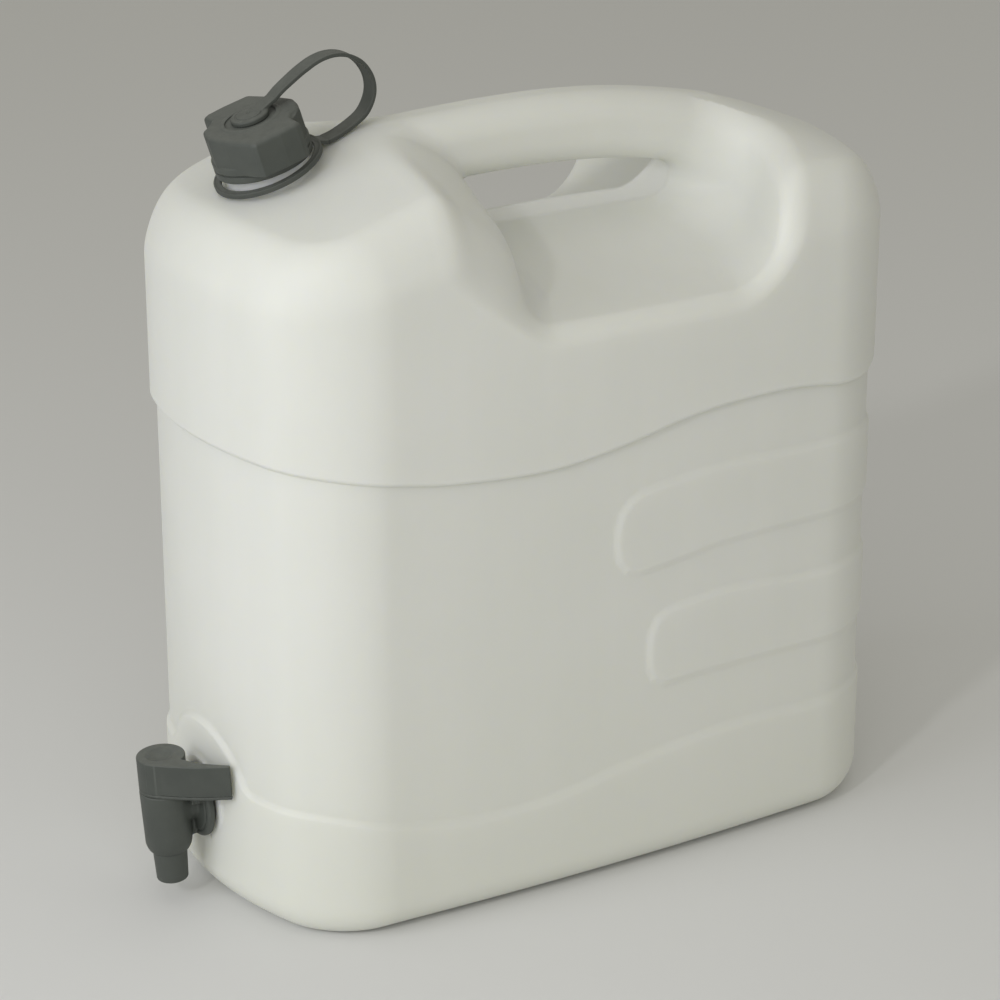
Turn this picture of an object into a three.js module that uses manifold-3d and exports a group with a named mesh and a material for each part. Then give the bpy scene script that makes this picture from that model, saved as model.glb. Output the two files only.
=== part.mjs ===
// Jerry can of about 20 litres with a drain tap and a screw cap kept on a strap.
// Millimetres, +Z up. The origin is on the ground under the middle of the can.
// +X runs along the can's length towards the grip end, the tap and the neck are at -X,
// and Y is the can's width.
import * as THREE from "three";
import { mergeVertices } from "three/addons/utils/BufferGeometryUtils.js";
import Module from "manifold-3d";

const { clamp, degToRad, smoothstep } = THREE.MathUtils;

// ---- shared dimensions ----------------------------------------------------------------------
const GAP = 0.3; // clearance between fitted pieces
const WALL = 2.4; // the can's wall thickness

const NECK_TILT = degToRad(18); // the neck leans towards the tap end
const NECK_ORIGIN = [-140.36, 0, 368.84]; // on the neck axis, 5 mm below the cap's lower edge

const TAP_LEAN = degToRad(3.3); // the tap's barrel leans outwards at the top
const TAP_ORIGIN = [-207.1, 0, 51.8]; // barrel axis at the height of the inlet
const FLANGE_FACE = 18; // the tap flange's face towards the can, from the barrel axis
const GASKET_THICK = 1;
const GASKET_FACE = FLANGE_FACE + GAP;

// ---- solids and geometries ------------------------------------------------------------------
const wasm = await Module();
wasm.setup();

function toSolid(geometry, matrix) {
  const copy = geometry.clone();
  if (matrix) copy.applyMatrix4(matrix);
  copy.deleteAttribute("normal");
  copy.deleteAttribute("uv");
  const merged = mergeVertices(copy, 1e-4);
  return new wasm.Manifold(new wasm.Mesh({
    numProp: 3,
    vertProperties: new Float32Array(merged.attributes.position.array),
    triVerts: new Uint32Array(merged.index.array),
  }));
}

function toGeometry(solid) {
  const mesh = solid.getMesh();
  const geometry = new THREE.BufferGeometry();
  const positions = new Float32Array(mesh.vertProperties);
  geometry.setAttribute("position", new THREE.BufferAttribute(positions, 3));
  geometry.setIndex(new THREE.BufferAttribute(new Uint32Array(mesh.triVerts), 1));
  geometry.computeVertexNormals();
  return geometry;
}

// Profiles are lists of [radius, z], turned about z.
function lathe(profile, segments) {
  const points = profile.map(([radius, z]) => new THREE.Vector2(radius, z));
  return new THREE.LatheGeometry(points, segments).rotateX(Math.PI / 2);
}

function turned(profile, segments, matrix) {
  return toSolid(lathe(profile, segments), matrix);
}

function cylinder(radius, from, to, segments, matrix) {
  return turned([[0, from], [radius, from], [radius, to], [0, to]], segments, matrix);
}

// A flat ring of rectangular section.
function washer(inner, outer, from, to, segments) {
  const profile = [[inner, from], [outer, from], [outer, to], [inner, to], [inner, from]];
  return lathe(profile, segments);
}

// A prism from one z to another, with its end edges bevelled.
function bevelledPrism({ shape, from, to, bevel, bevelOffset = 0 }) {
  const geometry = new THREE.ExtrudeGeometry(shape, {
    depth: to - from - 2 * bevel,
    bevelEnabled: true,
    bevelThickness: bevel,
    bevelSize: bevel,
    bevelOffset,
    bevelSegments: 1,
  });
  return toSolid(geometry, shift(0, 0, from + bevel));
}

function shift(x, y, z) {
  return new THREE.Matrix4().makeTranslation(x, y, z);
}

// Frame of a part whose z axis leans towards -X.
function leaningFrame(origin, lean) {
  return new THREE.Matrix4().makeRotationY(-lean).setPosition(...origin);
}

const INLET_TURN = new THREE.Matrix4().makeRotationY(Math.PI / 2); // local z onto local +x

// Smooth curve through a table of [x, value], held level beyond its ends.
function valueAt(table, x) {
  const last = table.length - 1;
  if (x <= table[0][0]) return table[0][1];
  if (x >= table[last][0]) return table[last][1];
  let i = 0;
  while (table[i + 1][0] < x) i++;
  const slope = (k) => {
    const [xBefore, before] = table[Math.max(k - 1, 0)];
    const [xAfter, after] = table[Math.min(k + 1, last)];
    return (after - before) / (xAfter - xBefore);
  };
  const [xStart, start] = table[i];
  const [xEnd, end] = table[i + 1];
  const span = xEnd - xStart;
  const t = (x - xStart) / span;
  return (2 * t ** 3 - 3 * t * t + 1) * start
    + (t ** 3 - 2 * t * t + t) * span * slope(i)
    + (3 * t * t - 2 * t ** 3) * end
    + (t ** 3 - t * t) * span * slope(i + 1);
}

// ---- the can's outline seen from above ------------------------------------------------------
const HALF_LENGTH = 185; // of the can's middle section
const HALF_WIDTH = 97.2;
const END_BULGE = 26.9; // how far the end walls bow out
const SIDE_BULGE = 7.3; // how far the side walls bow out
const CORNER_R = 31; // upright corners

// Below zero inside; close to the distance from the middle section's wall.
function outline(x, y) {
  const pastEnd = Math.abs(x) - (HALF_LENGTH - END_BULGE * (y / HALF_WIDTH) ** 2) + CORNER_R;
  const pastSide = Math.abs(y) - (HALF_WIDTH - SIDE_BULGE * (x / HALF_LENGTH) ** 2) + CORNER_R;
  const corner = Math.hypot(Math.max(pastEnd, 0), Math.max(pastSide, 0));
  return Math.min(Math.max(pastEnd, pastSide), 0) + corner - CORNER_R;
}

// The point at a distance outside the middle section's wall, found by halving.
function wallPoint(angle, offset) {
  const alongX = HALF_LENGTH * Math.cos(angle);
  const alongY = HALF_WIDTH * Math.sin(angle);
  const length = Math.hypot(alongX, alongY);
  let low = 0;
  let high = 300;
  for (let k = 0; k < 34; k++) {
    const middle = (low + high) / 2;
    if (outline((middle * alongX) / length, (middle * alongY) / length) < offset) low = middle;
    else high = middle;
  }
  return [(low * alongX) / length, (low * alongY) / length];
}

// ---- the can's top: a ridge along the middle that falls to both sides -----------------------
// Height of the ridge: [x, z]
const CREST = [
  [-190, 349], [-165, 357.5], [-140, 366], [-118, 373.6], [-108, 377.4], [-95, 382.6],
  [-82, 384.6], [-66, 385.4], [-45, 386.5], [-20, 387.4], [15, 387.4], [48, 385.2],
  [78, 381], [109, 374.8], [130, 369], [150, 361.9], [170, 353.8], [190, 346],
];
// How steeply the top falls from the ridge: [x, slope]
const TOP_FALL = [
  [-190, 0.22], [-150, 0.2], [-95, 0.22], [-80, 0.34], [-60, 0.4],
  [60, 0.4], [110, 0.32], [150, 0.18], [190, 0.12],
];
// How broad the ridge is: [x, breadth]
const TOP_RIDGE = [[-190, 30], [-100, 20], [-60, 14], [60, 14], [120, 20], [190, 30]];
// Rounded top edge: [x, radius]
const TOP_EDGE = [[-190, 25], [-150, 27], [-60, 30], [60, 30], [150, 28], [190, 24]];

function topHeight(x, y) {
  const breadth = valueAt(TOP_RIDGE, x);
  return valueAt(CREST, x) - valueAt(TOP_FALL, x) * (Math.hypot(y, breadth) - breadth);
}

function topSlope(x, y) {
  const riseX = topHeight(x + 1, y) - topHeight(x - 1, y);
  const riseY = topHeight(x, y + 1) - topHeight(x, y - 1);
  return Math.hypot(riseX, riseY) / 2;
}

// ---- the can's skin -------------------------------------------------------------------------
const UPPER_STEP = 3.5; // the upper section stands this far out
const LOWER_STEP = 2; // and the lower section this far
const BOTTOM_R = 18; // rounded bottom edge
// Ledge under the upper section: [x, z]
const UPPER_LEDGE = [
  [-190, 246], [-159, 241.6], [-124, 236], [-98, 232], [-60, 229.3], [-38, 229.4],
  [-15, 232], [8, 236], [32, 241], [56, 244], [81, 245], [106, 244.4], [133, 241],
  [154, 240], [190, 246],
];
// Ledge on top of the lower section: [x, z]
const LOWER_LEDGE = [
  [-190, 70], [-159, 67.9], [-127, 61.6], [-88, 55.3], [-48, 55.2], [-25, 58],
  [-1, 62.5], [23, 65.8], [48, 68.4], [74, 69.8], [127, 68], [190, 70],
];
const ARCH_Z = 51.5; // the lower ledge arches over the tap, about this height
const ARCH_R = 44;
const ARCH_END_X = -140; // the arch is only on the end wall, beyond this
const SPINE_SHARE = 0.62; // the top closes on a line this share of the last ring's length
const MIN_EDGE = 1e-3; // triangles with a shorter edge are left out

function lowerLedge(x, y) {
  const z = valueAt(LOWER_LEDGE, x);
  if (x >= ARCH_END_X || Math.abs(y) >= ARCH_R) return z;
  return Math.max(z, ARCH_Z + Math.sqrt(ARCH_R ** 2 - y * y));
}

// Rings of points round the can, from the bottom to the spine of the top.
function skinRings(shrink, count) {
  const turns = Array.from({ length: count }, (_, i) => (2 * Math.PI * i) / count);
  const ring = (offset, height) => turns.map((turn) => {
    const [x, y] = wallPoint(turn, offset - shrink);
    return [x, y, height(x, y)];
  });
  const roof = (x, y) => topHeight(x, y) - shrink * Math.hypot(1, topSlope(x, y));

  const bottomR = BOTTOM_R - shrink * 0.4;
  const rings = [0, 22.5, 45, 67.5, 90].map((degrees) => {
    const t = degToRad(degrees);
    const offset = LOWER_STEP - bottomR * (1 - Math.sin(t));
    return ring(offset, () => shrink + bottomR * (1 - Math.cos(t)));
  });
  rings.push(
    ring(LOWER_STEP, (x, y) => lowerLedge(x, y) - 2.5),
    ring(0, (x, y) => lowerLedge(x, y) + 1.5),
    ring(0, (x) => valueAt(UPPER_LEDGE, x) - 1 - shrink),
    ring(UPPER_STEP, (x) => valueAt(UPPER_LEDGE, x) + 1.5 - shrink),
  );

  // rounded top edge: an arc tangent to the wall and to the falling top
  const wallOffset = UPPER_STEP - shrink;
  const arcs = turns.map((turn) => {
    const [wallX] = wallPoint(turn, wallOffset);
    const radius = valueAt(TOP_EDGE, wallX) - shrink;
    const [x, y] = wallPoint(turn, wallOffset - radius);
    const steep = topSlope(x, y);
    return {
      turn,
      radius,
      centreZ: topHeight(x, y) - (radius + shrink) * Math.hypot(1, steep),
      end: Math.PI / 2 - Math.atan(steep),
    };
  });
  for (const degrees of [0, 20, 40, 56, 70, 90]) {
    const t = degToRad(degrees);
    rings.push(arcs.map(({ turn, radius, centreZ, end }) => {
      const [x, y] = wallPoint(turn, wallOffset - radius * (1 - Math.cos(t)));
      const limit = roof(x, y);
      return [x, y, t <= end ? Math.min(centreZ + radius * Math.sin(t), limit) : limit];
    }));
  }

  const edge = rings[rings.length - 1];
  for (const t of [0.75, 0.5, 0.3, 0.15, 0]) {
    rings.push(edge.map(([edgeX, edgeY]) => {
      const spineX = edgeX * SPINE_SHARE;
      const x = spineX + (edgeX - spineX) * t;
      const y = edgeY * t;
      return [x, y, roof(x, y)];
    }));
  }
  return rings;
}

// A closed skin lofted through the rings. shrink moves it inwards, for the hollow inside.
function canSkin(shrink, count) {
  const rings = skinRings(shrink, count);
  const positions = [];
  const distance = (a, b) => Math.hypot(a[0] - b[0], a[1] - b[1], a[2] - b[2]);
  const addTriangle = (a, b, c) => {
    if (Math.min(distance(a, b), distance(b, c), distance(a, c)) > MIN_EDGE) {
      positions.push(...a, ...b, ...c);
    }
  };
  const bottom = [0, 0, shrink];
  for (let i = 0; i < count; i++) {
    const j = (i + 1) % count;
    addTriangle(bottom, rings[0][j], rings[0][i]);
    for (let k = 0; k + 1 < rings.length; k++) {
      addTriangle(rings[k][i], rings[k][j], rings[k + 1][j]);
      addTriangle(rings[k][i], rings[k + 1][j], rings[k + 1][i]);
    }
  }
  const attribute = new THREE.BufferAttribute(new Float32Array(positions), 3);
  return toSolid(new THREE.BufferGeometry().setAttribute("position", attribute));
}

// ---- the scoop under and beside the handle --------------------------------------------------
const RIDGE_Z = 325; // floor under the handle, on the middle plane
const RIM_Z = 300; // and at the side wall
const SCOOP_TOP = 430;
const SCOOP_HALF_WIDTH = 120;
const FLOOR_REACH = 100; // the floor falls from the middle plane to this distance
const FLOOR_POWER = 1.35; // and this bends its fall
const RISE_FADE = 84; // the floor's rise fades out over this depth below the scoop's top

// Its outline at the side wall, in x and z. grow makes it larger, for cutting the hollow inside.
function scoopOutline(grow) {
  const floor = RIM_Z - grow;
  const shape = new THREE.Shape();
  shape.moveTo(-32, floor);
  shape.lineTo(66, floor);
  shape.quadraticCurveTo(88 + grow, floor + 1, 93 + grow, 320);
  shape.lineTo(98.5 + grow, 336);
  shape.lineTo(127 + grow, SCOOP_TOP);
  shape.lineTo(-116 - grow, SCOOP_TOP);
  shape.lineTo(-80 - grow, 352);
  shape.lineTo(-56.5 - grow, 308);
  shape.quadraticCurveTo(-52 - grow, floor, -42, floor);
  return shape;
}

function scoop(grow) {
  const geometry = new THREE.ExtrudeGeometry(scoopOutline(grow), {
    depth: 2 * SCOOP_HALF_WIDTH,
    steps: 16,
    bevelEnabled: false,
    curveSegments: 5,
  });
  // the outline's plane becomes XZ and it runs along Y
  geometry.rotateX(Math.PI / 2).translate(0, SCOOP_HALF_WIDTH, 0);
  const points = geometry.attributes.position;
  for (let i = 0; i < points.count; i++) {
    const x = points.getX(i);
    const z = points.getZ(i);
    const side = Math.min(Math.abs(points.getY(i)), FLOOR_REACH);
    // the floor climbs to the middle plane
    const rise = (RIDGE_Z - RIM_Z) * (1 - side / FLOOR_REACH) ** FLOOR_POWER
      * clamp((SCOOP_TOP - z) / RISE_FADE, 0, 1);
    points.setZ(i, z + rise);
    if (x < -20) {
      // the wall towards the neck slants
      points.setX(i, x + 40 - 0.2 * side - 20 * smoothstep(side, 60, 104) - 0.5 * rise);
    }
    if (x > 60) {
      // the wall towards the grip end is hollowed, most at 42 mm from the middle plane
      const hollow = 13 * Math.exp(-(((side - 42) / 30) ** 2));
      points.setX(i, x + hollow - 1 + 0.3 * rise);
    }
  }
  return toSolid(geometry);
}

// ---- handle bar -----------------------------------------------------------------------------
const BAR_WIDTH = 36;
const BAR_HEIGHT = 35;
const BAR_R = 14.5;
const BAR_SPANS = 12; // between the points of its path

// A rounded bar that follows the crest between two values of x.
function bar(inset, from, to) {
  const halfWidth = BAR_WIDTH / 2 - inset;
  const halfHeight = BAR_HEIGHT / 2 - inset;
  const radius = BAR_R - inset;
  const flatX = halfHeight - radius;
  const flatY = halfWidth - radius;
  // across the path: shape x is up, shape y is sideways
  const section = new THREE.Shape();
  section.moveTo(-flatX, -halfWidth);
  section.lineTo(flatX, -halfWidth);
  section.absarc(flatX, -flatY, radius, -Math.PI / 2, 0);
  section.lineTo(halfHeight, flatY);
  section.absarc(flatX, flatY, radius, 0, Math.PI / 2);
  section.lineTo(-flatX, halfWidth);
  section.absarc(-flatX, flatY, radius, Math.PI / 2, Math.PI);
  section.lineTo(-halfHeight, -flatY);
  section.absarc(-flatX, -flatY, radius, Math.PI, 1.5 * Math.PI);

  const points = [];
  for (let x = from; x <= to + 0.01; x += (to - from) / BAR_SPANS) {
    points.push(new THREE.Vector3(x, 0, valueAt(CREST, x) - BAR_HEIGHT / 2));
  }
  const extrudePath = new THREE.CatmullRomCurve3(points);
  return toSolid(new THREE.ExtrudeGeometry(section, { steps: 14, extrudePath, curveSegments: 4 }));
}

// ---- can body -------------------------------------------------------------------------------
const FIN_TOP = 334; // trimmed seam standing on the scoop's floor
const FIN_BOTTOM = RIDGE_Z - 6;
const FIN_THICK = 3.2;

const NECK_OUT_R = 20.5;
const NECK_IN_R = 16.5;
const NECK_TOP = 21;
const NECK_FOOT = -16;
const BEAD_Z = [8, 14]; // lower edge of each thread bead's crest
const BEAD_HEIGHT = 0.6;
const BEAD_CREST = 1;
const BEAD_FLANK = 0.8;

const BOSS_R = 21;
const BOSS_FACE = GASKET_FACE + GASKET_THICK + GAP; // from the barrel axis
const INLET_HOLE_R = 13.4;

// Seam standing round the handle's hole, on the middle plane.
function seamFin() {
  const shape = new THREE.Shape();
  shape.moveTo(-52, FIN_BOTTOM);
  shape.lineTo(90, FIN_BOTTOM);
  shape.lineTo(92, 356);
  shape.lineTo(84, 349);
  shape.quadraticCurveTo(76, FIN_TOP + 0.5, 52, FIN_TOP - 1.5);
  shape.lineTo(-30, FIN_TOP);
  shape.quadraticCurveTo(-46, FIN_TOP + 1, -50, 350);
  shape.lineTo(-56, 360);
  const options = { depth: FIN_THICK, bevelEnabled: false, curveSegments: 6 };
  const geometry = new THREE.ExtrudeGeometry(shape, options);
  return toSolid(geometry.rotateX(Math.PI / 2).translate(0, FIN_THICK / 2, 0));
}

// Neck tube, still solid, with a bead for each turn of thread.
function neckTube(frame) {
  const beads = BEAD_Z.flatMap((z) => [
    [NECK_OUT_R, z - BEAD_FLANK],
    [NECK_OUT_R + BEAD_HEIGHT, z],
    [NECK_OUT_R + BEAD_HEIGHT, z + BEAD_CREST],
    [NECK_OUT_R, z + BEAD_CREST + BEAD_FLANK],
  ]);
  const profile = [
    [0, NECK_FOOT], [NECK_OUT_R, NECK_FOOT], ...beads,
    [NECK_OUT_R, NECK_TOP - 1], [NECK_OUT_R - 1, NECK_TOP], [0, NECK_TOP],
  ];
  return turned(profile, 28, frame);
}

function canBody() {
  const neckFrame = leaningFrame(NECK_ORIGIN, NECK_TILT);
  const inletFrame = leaningFrame(TAP_ORIGIN, TAP_LEAN).multiply(INLET_TURN);
  const skin = canSkin(0, 56);
  const outer = skin
    .subtract(scoop(0))
    .add(bar(0, -82, 112))
    .add(seamFin().intersect(skin))
    .add(neckTube(neckFrame))
    .add(cylinder(BOSS_R, 19, 34, 36, inletFrame))
    // the boss is faced flat, square to the inlet
    .subtract(cylinder(BOSS_R + 0.4, 5, BOSS_FACE, 36, inletFrame));
  const inner = canSkin(WALL, 36)
    .subtract(scoop(WALL + 0.4))
    .add(bar(WALL + 0.2, -96, 122));
  const pieces = outer
    .subtract(inner)
    .subtract(cylinder(NECK_IN_R, -30, NECK_TOP + 5, 36, neckFrame))
    .subtract(cylinder(INLET_HOLE_R, 10, 60, 36, inletFrame))
    .decompose();
  // only the largest piece is the can
  return toGeometry(pieces.sort((a, b) => b.volume() - a.volume())[0]);
}

// ---- cap and seal ---------------------------------------------------------------------------
// The cap's grip seen from above, [x, y]: two broad wings, each with a notch behind one corner.
// The other half is the same turned by 180 degrees.
const GRIP_HALF = [
  [-24, 0], [-20.8, -11.5], [-14.4, -26.6], [-10.5, -29.2], [0, -29.9], [9, -29.6],
  [11.2, -28.4], [11.6, -25], [12, -20.2], [15, -16], [20.2, -12.8], [22.8, -6],
];
const GRIP_INSET = 0.9; // the outline is drawn in before its bevel widens it again
const GRIP_BEVEL = 0.8;
const COLLAR_R = 24; // round collar at the cap's lower edge
const COLLAR_HEIGHT = 6;
const COLLAR_CHAMFER = 0.8;
const CAP_BOTTOM = 5;
const CAP_TOP = 27.4;
const CAP_BORE_R = 21.4;
const CAP_CEILING = CAP_TOP - 3.4; // underside of the cap's roof
const GRIP_BOTTOM = CAP_BOTTOM + 3.2;
const DISH_R = 12.5; // shallow dish on top
const DISH_FLOOR = CAP_TOP - 0.5;
const STEM_R = 3.2; // stem of the strap's button
const SEAL_IN_R = 5.2;
const SEAL_OUT_R = CAP_BORE_R - 0.6;
const SEAL_THICK = 1.8;
const SEAL_TOP = CAP_CEILING - GAP;

function gripShape() {
  const opposite = GRIP_HALF.map(([x, y]) => [-x, -y]);
  return new THREE.Shape([...GRIP_HALF, ...opposite].map(([x, y]) => {
    const scale = 1 - GRIP_INSET / Math.hypot(x, y);
    return new THREE.Vector2(x * scale, y * scale);
  }));
}

function screwCap() {
  const grip = bevelledPrism({
    shape: gripShape(),
    from: GRIP_BOTTOM,
    to: CAP_TOP,
    bevel: GRIP_BEVEL,
  });
  const collar = turned([
    [0, CAP_BOTTOM], [COLLAR_R - COLLAR_CHAMFER, CAP_BOTTOM],
    [COLLAR_R, CAP_BOTTOM + COLLAR_CHAMFER],
    [COLLAR_R, CAP_BOTTOM + COLLAR_HEIGHT], [0, CAP_BOTTOM + COLLAR_HEIGHT],
  ], 48);
  const dish = turned([
    [0, DISH_FLOOR], [DISH_R - 1.5, DISH_FLOOR], [DISH_R, CAP_TOP + 1], [0, CAP_TOP + 1],
  ], 32);
  return toGeometry(grip
    .add(collar)
    .subtract(cylinder(CAP_BORE_R, CAP_BOTTOM - 5, CAP_CEILING, 40))
    .subtract(dish)
    // the hole that the strap's button turns in
    .subtract(cylinder(STEM_R + GAP, CAP_TOP - 8, CAP_TOP + 2, 24)));
}

function capSeal() {
  return washer(SEAL_IN_R, SEAL_OUT_R, SEAL_TOP - SEAL_THICK, SEAL_TOP, 36);
}

// ---- strap: eye with its button, band, ring -------------------------------------------------
const EYE_Z = DISH_FLOOR + GAP; // underside of the eye
const BARB_R = 4.3; // the button's end under the cap's roof
const BARB_TOP = CAP_CEILING - GAP;

const STRAP_WIDTH = 10;
const STRAP_THICK = 1.9;
// The band's path on the middle plane, from the eye over to the ring: [x, z]
const BAND_PATH = [
  [-137.2, 403.2], [-133.4, 406.6], [-128, 410.5], [-121.8, 414.6], [-114.1, 418.6],
  [-106.4, 420.4], [-98.7, 419.6], [-91.1, 415.6], [-86, 409], [-84.3, 402.3],
  [-85.4, 396], [-89.2, 389.8], [-95.5, 385.4], [-103, 381.6], [-109.4, 379.4],
];

const RING_TILT = degToRad(22.5); // the loose ring lies on the sloping shoulder
const RING_ORIGIN = [-140.1, 0, 370.7];
const RING_OUT_R = 27.3;
const RING_IN_R = 23.6;
const RING_THICK = 2.6;
const RING_CHAMFER = 0.6;

function strapEye() {
  return lathe([
    [0, CAP_CEILING - 1.5], [2.4, CAP_CEILING - 1.5], [BARB_R, BARB_TOP - 0.4],
    [BARB_R, BARB_TOP], [STEM_R, BARB_TOP], [STEM_R, EYE_Z],
    [8.8, EYE_Z], [9.4, EYE_Z + 0.6], [9.4, EYE_Z + 1.6],
    [8.2, EYE_Z + 2.5], [4, EYE_Z + 3], [0, EYE_Z + 3.1],
  ], 32);
}

function strapBand() {
  const path = BAND_PATH.map(([x, z]) => new THREE.Vector3(x, 0, z));
  const corners = [[-1, -1], [1, -1], [1, 1], [-1, 1]];
  const section = new THREE.Shape(corners.map(([x, y]) => (
    new THREE.Vector2((x * STRAP_WIDTH) / 2, (y * STRAP_THICK) / 2)
  )));
  const extrudePath = new THREE.CatmullRomCurve3(path);
  return new THREE.ExtrudeGeometry(section, { steps: 32, extrudePath });
}

function strapRing() {
  const half = RING_THICK / 2;
  return lathe([
    [RING_IN_R, -half], [RING_OUT_R - RING_CHAMFER, -half], [RING_OUT_R, -half + RING_CHAMFER],
    [RING_OUT_R, half - RING_CHAMFER], [RING_OUT_R - RING_CHAMFER, half], [RING_IN_R, half],
    [RING_IN_R, -half],
  ], 48);
}

// ---- tap housing and gasket -----------------------------------------------------------------
const BARREL_TOP = 10;
const BARREL_BOTTOM = -20.5;
const PLUG_TOP_R = 8.9;
const PLUG_LOW_R = 8.45;
const FLANGE_R = 19.6;
const SPIGOT_R = 12.9;
const SPIGOT_END = 39;
const INLET_BORE_R = 6.2;
const LUG_SIZE = [4, 4, 7]; // block behind the flange's -Y side
const LUG_CENTRE = [15.2, -13.4, 6.6];

function tapHousing() {
  const barrel = turned([
    [0, BARREL_BOTTOM - 2.8], [9.9, BARREL_BOTTOM - 2.8], [11.7, BARREL_BOTTOM],
    [12.3, BARREL_TOP], [0, BARREL_TOP],
  ], 30);
  // neck, flange and spigot, along local +x
  const inlet = turned([
    [0, 6], [9.4, 6], [9.8, 13.2], [FLANGE_R - 1.2, 14.6], [FLANGE_R, 15.8],
    [FLANGE_R, FLANGE_FACE], [SPIGOT_R, FLANGE_FACE], [SPIGOT_R, SPIGOT_END - 1],
    [SPIGOT_R - 0.7, SPIGOT_END], [0, SPIGOT_END],
  ], 32, INLET_TURN);
  const taperedBore = turned([
    [0, BARREL_BOTTOM - 6], [PLUG_LOW_R + GAP, BARREL_BOTTOM - 6],
    [PLUG_TOP_R + GAP, BARREL_TOP + 2], [0, BARREL_TOP + 2],
  ], 30);
  return toGeometry(barrel
    .add(inlet)
    .add(toSolid(new THREE.BoxGeometry(...LUG_SIZE), shift(...LUG_CENTRE)))
    .subtract(taperedBore)
    .subtract(cylinder(INLET_BORE_R, 4, 45, 28, INLET_TURN)));
}

function tapGasket() {
  return washer(13.5, 18.4, GASKET_FACE, GASKET_FACE + GASKET_THICK, 36).rotateY(Math.PI / 2);
}

// ---- plug: a tapered rotor, bored up from the spout to a side port --------------------------
const SPOUT_BOTTOM = -39;
const SPOUT_BORE_R = 5.9;
const PORT_R = 5.2;
const HEAD_TOP = 28.8;
const PLUG_SHOULDER = BARREL_TOP + 0.4;
const POST_R = 5.4; // the plug's post inside the lever's head
const POST_TOP = HEAD_TOP - 7;
const GROOVE_DEPTH = 1.5;
const GROOVE_HALF = 1.1; // half its height
const ORING_R = 0.8;
const ORING_Z = { upper: 7.4, lower: -17.2 };

function plugRadius(z) {
  const taper = PLUG_TOP_R - PLUG_LOW_R;
  return PLUG_LOW_R + (taper * (z - BARREL_BOTTOM)) / (BARREL_TOP - BARREL_BOTTOM);
}

function oringGroove(z) {
  const radius = plugRadius(z);
  const floor = radius - GROOVE_DEPTH;
  return toSolid(washer(floor, radius + 2, z - GROOVE_HALF, z + GROOVE_HALF, 30));
}

function tapPlug() {
  const rotor = turned([
    [0, SPOUT_BOTTOM], [7.2, SPOUT_BOTTOM], [7.9, SPOUT_BOTTOM + 1.6],
    [8.4, BARREL_BOTTOM - 3.4], [plugRadius(BARREL_BOTTOM), BARREL_BOTTOM - 2.6],
    [plugRadius(BARREL_TOP), PLUG_SHOULDER], [POST_R, PLUG_SHOULDER],
    [POST_R, POST_TOP], [0, POST_TOP],
  ], 30);
  const spoutBore = turned([
    [0, SPOUT_BOTTOM - 2], [SPOUT_BORE_R, SPOUT_BOTTOM - 2], [SPOUT_BORE_R, 4.5], [0, 5.5],
  ], 28);
  const towardsY = new THREE.Matrix4().makeRotationX(-Math.PI / 2); // local z onto local +y
  return toGeometry(rotor
    .subtract(oringGroove(ORING_Z.upper))
    .subtract(oringGroove(ORING_Z.lower))
    .subtract(spoutBore)
    .subtract(cylinder(PORT_R, 0, 14, 28, towardsY)));
}

function oring(z) {
  const radius = plugRadius(z) - GROOVE_DEPTH + ORING_R + 0.05;
  return new THREE.TorusGeometry(radius, ORING_R, 8, 24).translate(0, 0, z);
}

// ---- lever: a round head and an arm that curves back to the can's wall ----------------------
const HEAD_R = 12.2;
const LEVER_BOTTOM = BARREL_TOP + GAP;
const LEVER_TOP = HEAD_TOP + 0.3;
const LEVER_BEVEL = 0.6;
const LEVER_DISH_R = 19; // spherical dish in the head's top
// The arm's two edges, [x, y]: out along one and back along the other
const ARM_OUT = [[8.7, -15.2], [11.1, -19.2], [14.3, -22.9], [17.7, -26.4], [22.1, -31]];
const ARM_BACK = [
  [20.8, -32.6], [15.9, -29.4], [10.8, -26.1], [5.8, -22.4], [1.1, -18.2],
  [-3.6, -13.8], [-8, -9.2],
];

function smoothEdge(points, count) {
  const curve = new THREE.CatmullRomCurve3(points.map(([x, y]) => new THREE.Vector3(x, y, 0)));
  return curve.getPoints(count).map(({ x, y }) => new THREE.Vector2(x, y));
}

function leverShape() {
  const head = [];
  for (let degrees = -155; degrees >= -419; degrees -= 11) {
    const angle = degToRad(degrees);
    head.push(new THREE.Vector2(HEAD_R * Math.cos(angle), HEAD_R * Math.sin(angle)));
  }
  return new THREE.Shape([...head, ...smoothEdge(ARM_OUT, 9), ...smoothEdge(ARM_BACK, 13)]);
}

function tapLever() {
  const body = bevelledPrism({
    shape: leverShape(),
    from: LEVER_BOTTOM,
    to: LEVER_TOP,
    bevel: LEVER_BEVEL,
    bevelOffset: -LEVER_BEVEL,
  });
  const socketR = plugRadius(BARREL_TOP) + GAP;
  const socket = turned([
    [0, BARREL_TOP - 3], [socketR, BARREL_TOP - 3], [socketR, PLUG_SHOULDER + GAP],
    [POST_R + GAP, PLUG_SHOULDER + GAP], [POST_R + GAP, POST_TOP + GAP], [0, POST_TOP + GAP],
  ], 32);
  const dish = toSolid(new THREE.SphereGeometry(LEVER_DISH_R, 28, 18), shift(-1, 0, HEAD_TOP + 17.3));
  return toGeometry(body.subtract(socket).subtract(dish));
}

// ---- scene graph ----------------------------------------------------------------------------
const WHITE = 0xd9dbd0;
const GREY = 0x5d605b;
const DARK = 0x2b2c2a;
const FINISH = {
  can: { color: WHITE, roughness: 0.42 },
  moulding: { color: GREY, roughness: 0.55 },
  strap: { color: GREY, roughness: 0.6 },
  plug: { color: GREY, roughness: 0.5 },
  seal: { color: DARK, roughness: 0.8 },
  gasket: { color: DARK, roughness: 0.85 },
};

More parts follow.
